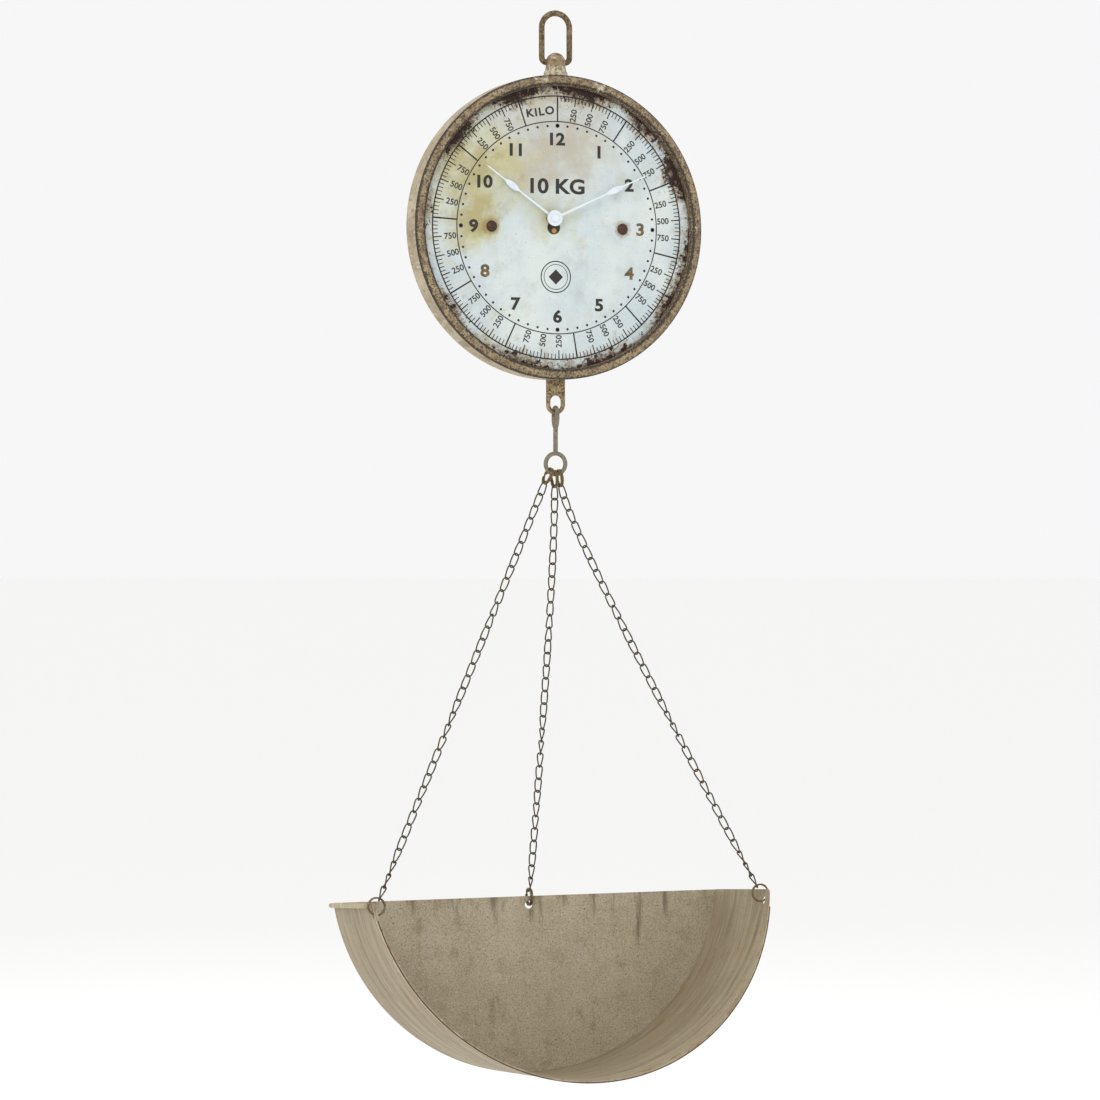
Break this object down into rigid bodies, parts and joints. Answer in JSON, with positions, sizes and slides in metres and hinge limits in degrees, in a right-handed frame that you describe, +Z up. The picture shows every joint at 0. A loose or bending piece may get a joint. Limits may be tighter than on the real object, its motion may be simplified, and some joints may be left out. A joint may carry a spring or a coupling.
{
  "type": "hanging spring scale",
  "caption": "Round dial case on a bail, with springs and a draw bar inside, a hook rod, three chains and a scoop pan, and clock hands on the dial.",
  "frame": {"origin": "inside of the bail's top, on the plumb line, where the scale hangs from its hook", "axes": "+X to the viewer's right, -Y towards the viewer, +Z up"},
  "size_m": [0.3545, 0.1898, 0.8939],
  "materials": {
    "case_paint": "aged tan paint over sheet steel, streaked and rust speckled",
    "bezel_paint": "worn tan paint with brown rust grain",
    "dial_enamel": "pale printed enamel, stained yellow and spotted with rust",
    "rusted_screw": "dark rusted dome head",
    "iron": "rust brown forged iron with traces of tan paint",
    "steel": "dull mild steel",
    "spring_steel": "drawn spring wire",
    "ring_wire": "tarnished brassy wire",
    "chain_wire": "dark oxidised wire",
    "pan_zinc": "weathered galvanised sheet, rust at its edges",
    "black_plastic": "moulded",
    "rubber": "soft",
    "nut_brass": "turned",
    "battery_wrap": "printed film",
    "board_green": "lacquered board",
    "copper": "lacquered winding",
    "nylon": "moulded nylon",
    "hand_white": "satin white paint"
  },
  "bodies": {
    "bail": {"bail": "iron"},
    "case": {"top_neck": "case_paint", "stem_nuts": "steel", "case_drum": "case_paint", "bezel": "bezel_paint", "dial_plate": "dial_enamel", "dial_seat_ring": "case_paint", "dial_posts": "steel", "dial_screws": "rusted_screw", "back_cover": "case_paint", "back_cover_screws": "steel", "spring_anchor_bar": "steel", "upper_spring_plugs": "steel", "spring_left": "spring_steel", "spring_right": "spring_steel", "draw_bar_guide": "steel", "movement_case": "black_plastic", "movement_cover": "black_plastic", "movement_washer": "rubber", "centre_nut": "nut_brass", "battery": "battery_wrap", "battery_contacts": "spring_steel", "circuit_board": "board_green", "drive_coil": "copper", "stator": "steel"},
    "draw_bar": {"draw_bar": "case_paint", "draw_bar_pins": "steel", "crosshead": "steel", "lower_spring_plugs": "steel"},
    "hook_rod": {"hook_rod": "iron"},
    "pan_set": {"upper_ring_left": "ring_wire", "upper_ring_middle": "ring_wire", "upper_ring_right": "ring_wire", "chain_left": "chain_wire", "chain_middle": "chain_wire", "chain_right": "chain_wire", "lower_ring_left": "ring_wire", "lower_ring_middle": "ring_wire", "lower_ring_right": "ring_wire", "pan_trough": "pan_zinc", "pan_back": "pan_zinc", "pan_rim_beads": "pan_zinc", "pan_front_hem": "pan_zinc"},
    "minute_hand": {"minute_hand": "hand_white", "minute_arbor": "nylon", "hand_cap": "hand_white"},
    "hour_hand": {"hour_hand": "hand_white", "hour_wheel": "nylon"},
    "intermediate_wheel": {"intermediate_wheel": "nylon"},
    "setting_knob": {"setting_knob": "nylon"},
    "rotor": {"rotor": "steel"}
  },
  "joints": [
    {"name": "case_swing", "type": "hinge", "parent": "bail", "child": "case", "pos_m": [0, 0, -0.0386], "axis": [1, 0, 0], "range_deg": [-80, 80]},
    {"name": "draw_slide", "type": "slide", "parent": "case", "child": "draw_bar", "axis": [0, 0, -1], "range_m": [0, 0.015], "stiffness_N_per_m": 6500, "springref_m": -0.003, "deforming": ["spring_left", "spring_right"]},
    {"name": "hook_swing", "type": "hinge", "parent": "draw_bar", "child": "hook_rod", "pos_m": [0, 0, -0.3264], "axis": [0, 1, 0], "range_deg": [-20, 20]},
    {"name": "pan_swing", "type": "hinge", "parent": "hook_rod", "child": "pan_set", "pos_m": [0, 0, -0.3819], "axis": [1, 0, 0], "range_deg": [-10, 10]},
    {"name": "minute_turn", "type": "hinge", "parent": "case", "child": "minute_hand", "pos_m": [-0.0045, -0.011, -0.1691], "axis": [0, 1, 0], "continuous": true},
    {"name": "hour_turn", "type": "hinge", "parent": "case", "child": "hour_hand", "pos_m": [-0.0045, -0.009, -0.1691], "axis": [0, 1, 0], "continuous": true},
    {"name": "intermediate_turn", "type": "hinge", "parent": "case", "child": "intermediate_wheel", "pos_m": [0.00257, 0.004, -0.16203], "axis": [0, 1, 0], "continuous": true},
    {"name": "setting_turn", "type": "hinge", "parent": "case", "child": "setting_knob", "pos_m": [0.0004, 0.013, -0.14972], "axis": [0, 1, 0], "continuous": true},
    {"name": "rotor_turn", "type": "hinge", "parent": "case", "child": "rotor", "pos_m": [-0.0205, 0.001, -0.1731], "axis": [0, 1, 0], "continuous": true}
  ],
  "couplings": [
    {"joint": "hour_turn", "follows": "minute_turn", "ratio": 0.083333},
    {"joint": "intermediate_turn", "follows": "minute_turn", "ratio": -0.33333},
    {"joint": "setting_turn", "follows": "minute_turn", "ratio": 0.5}
  ]
}
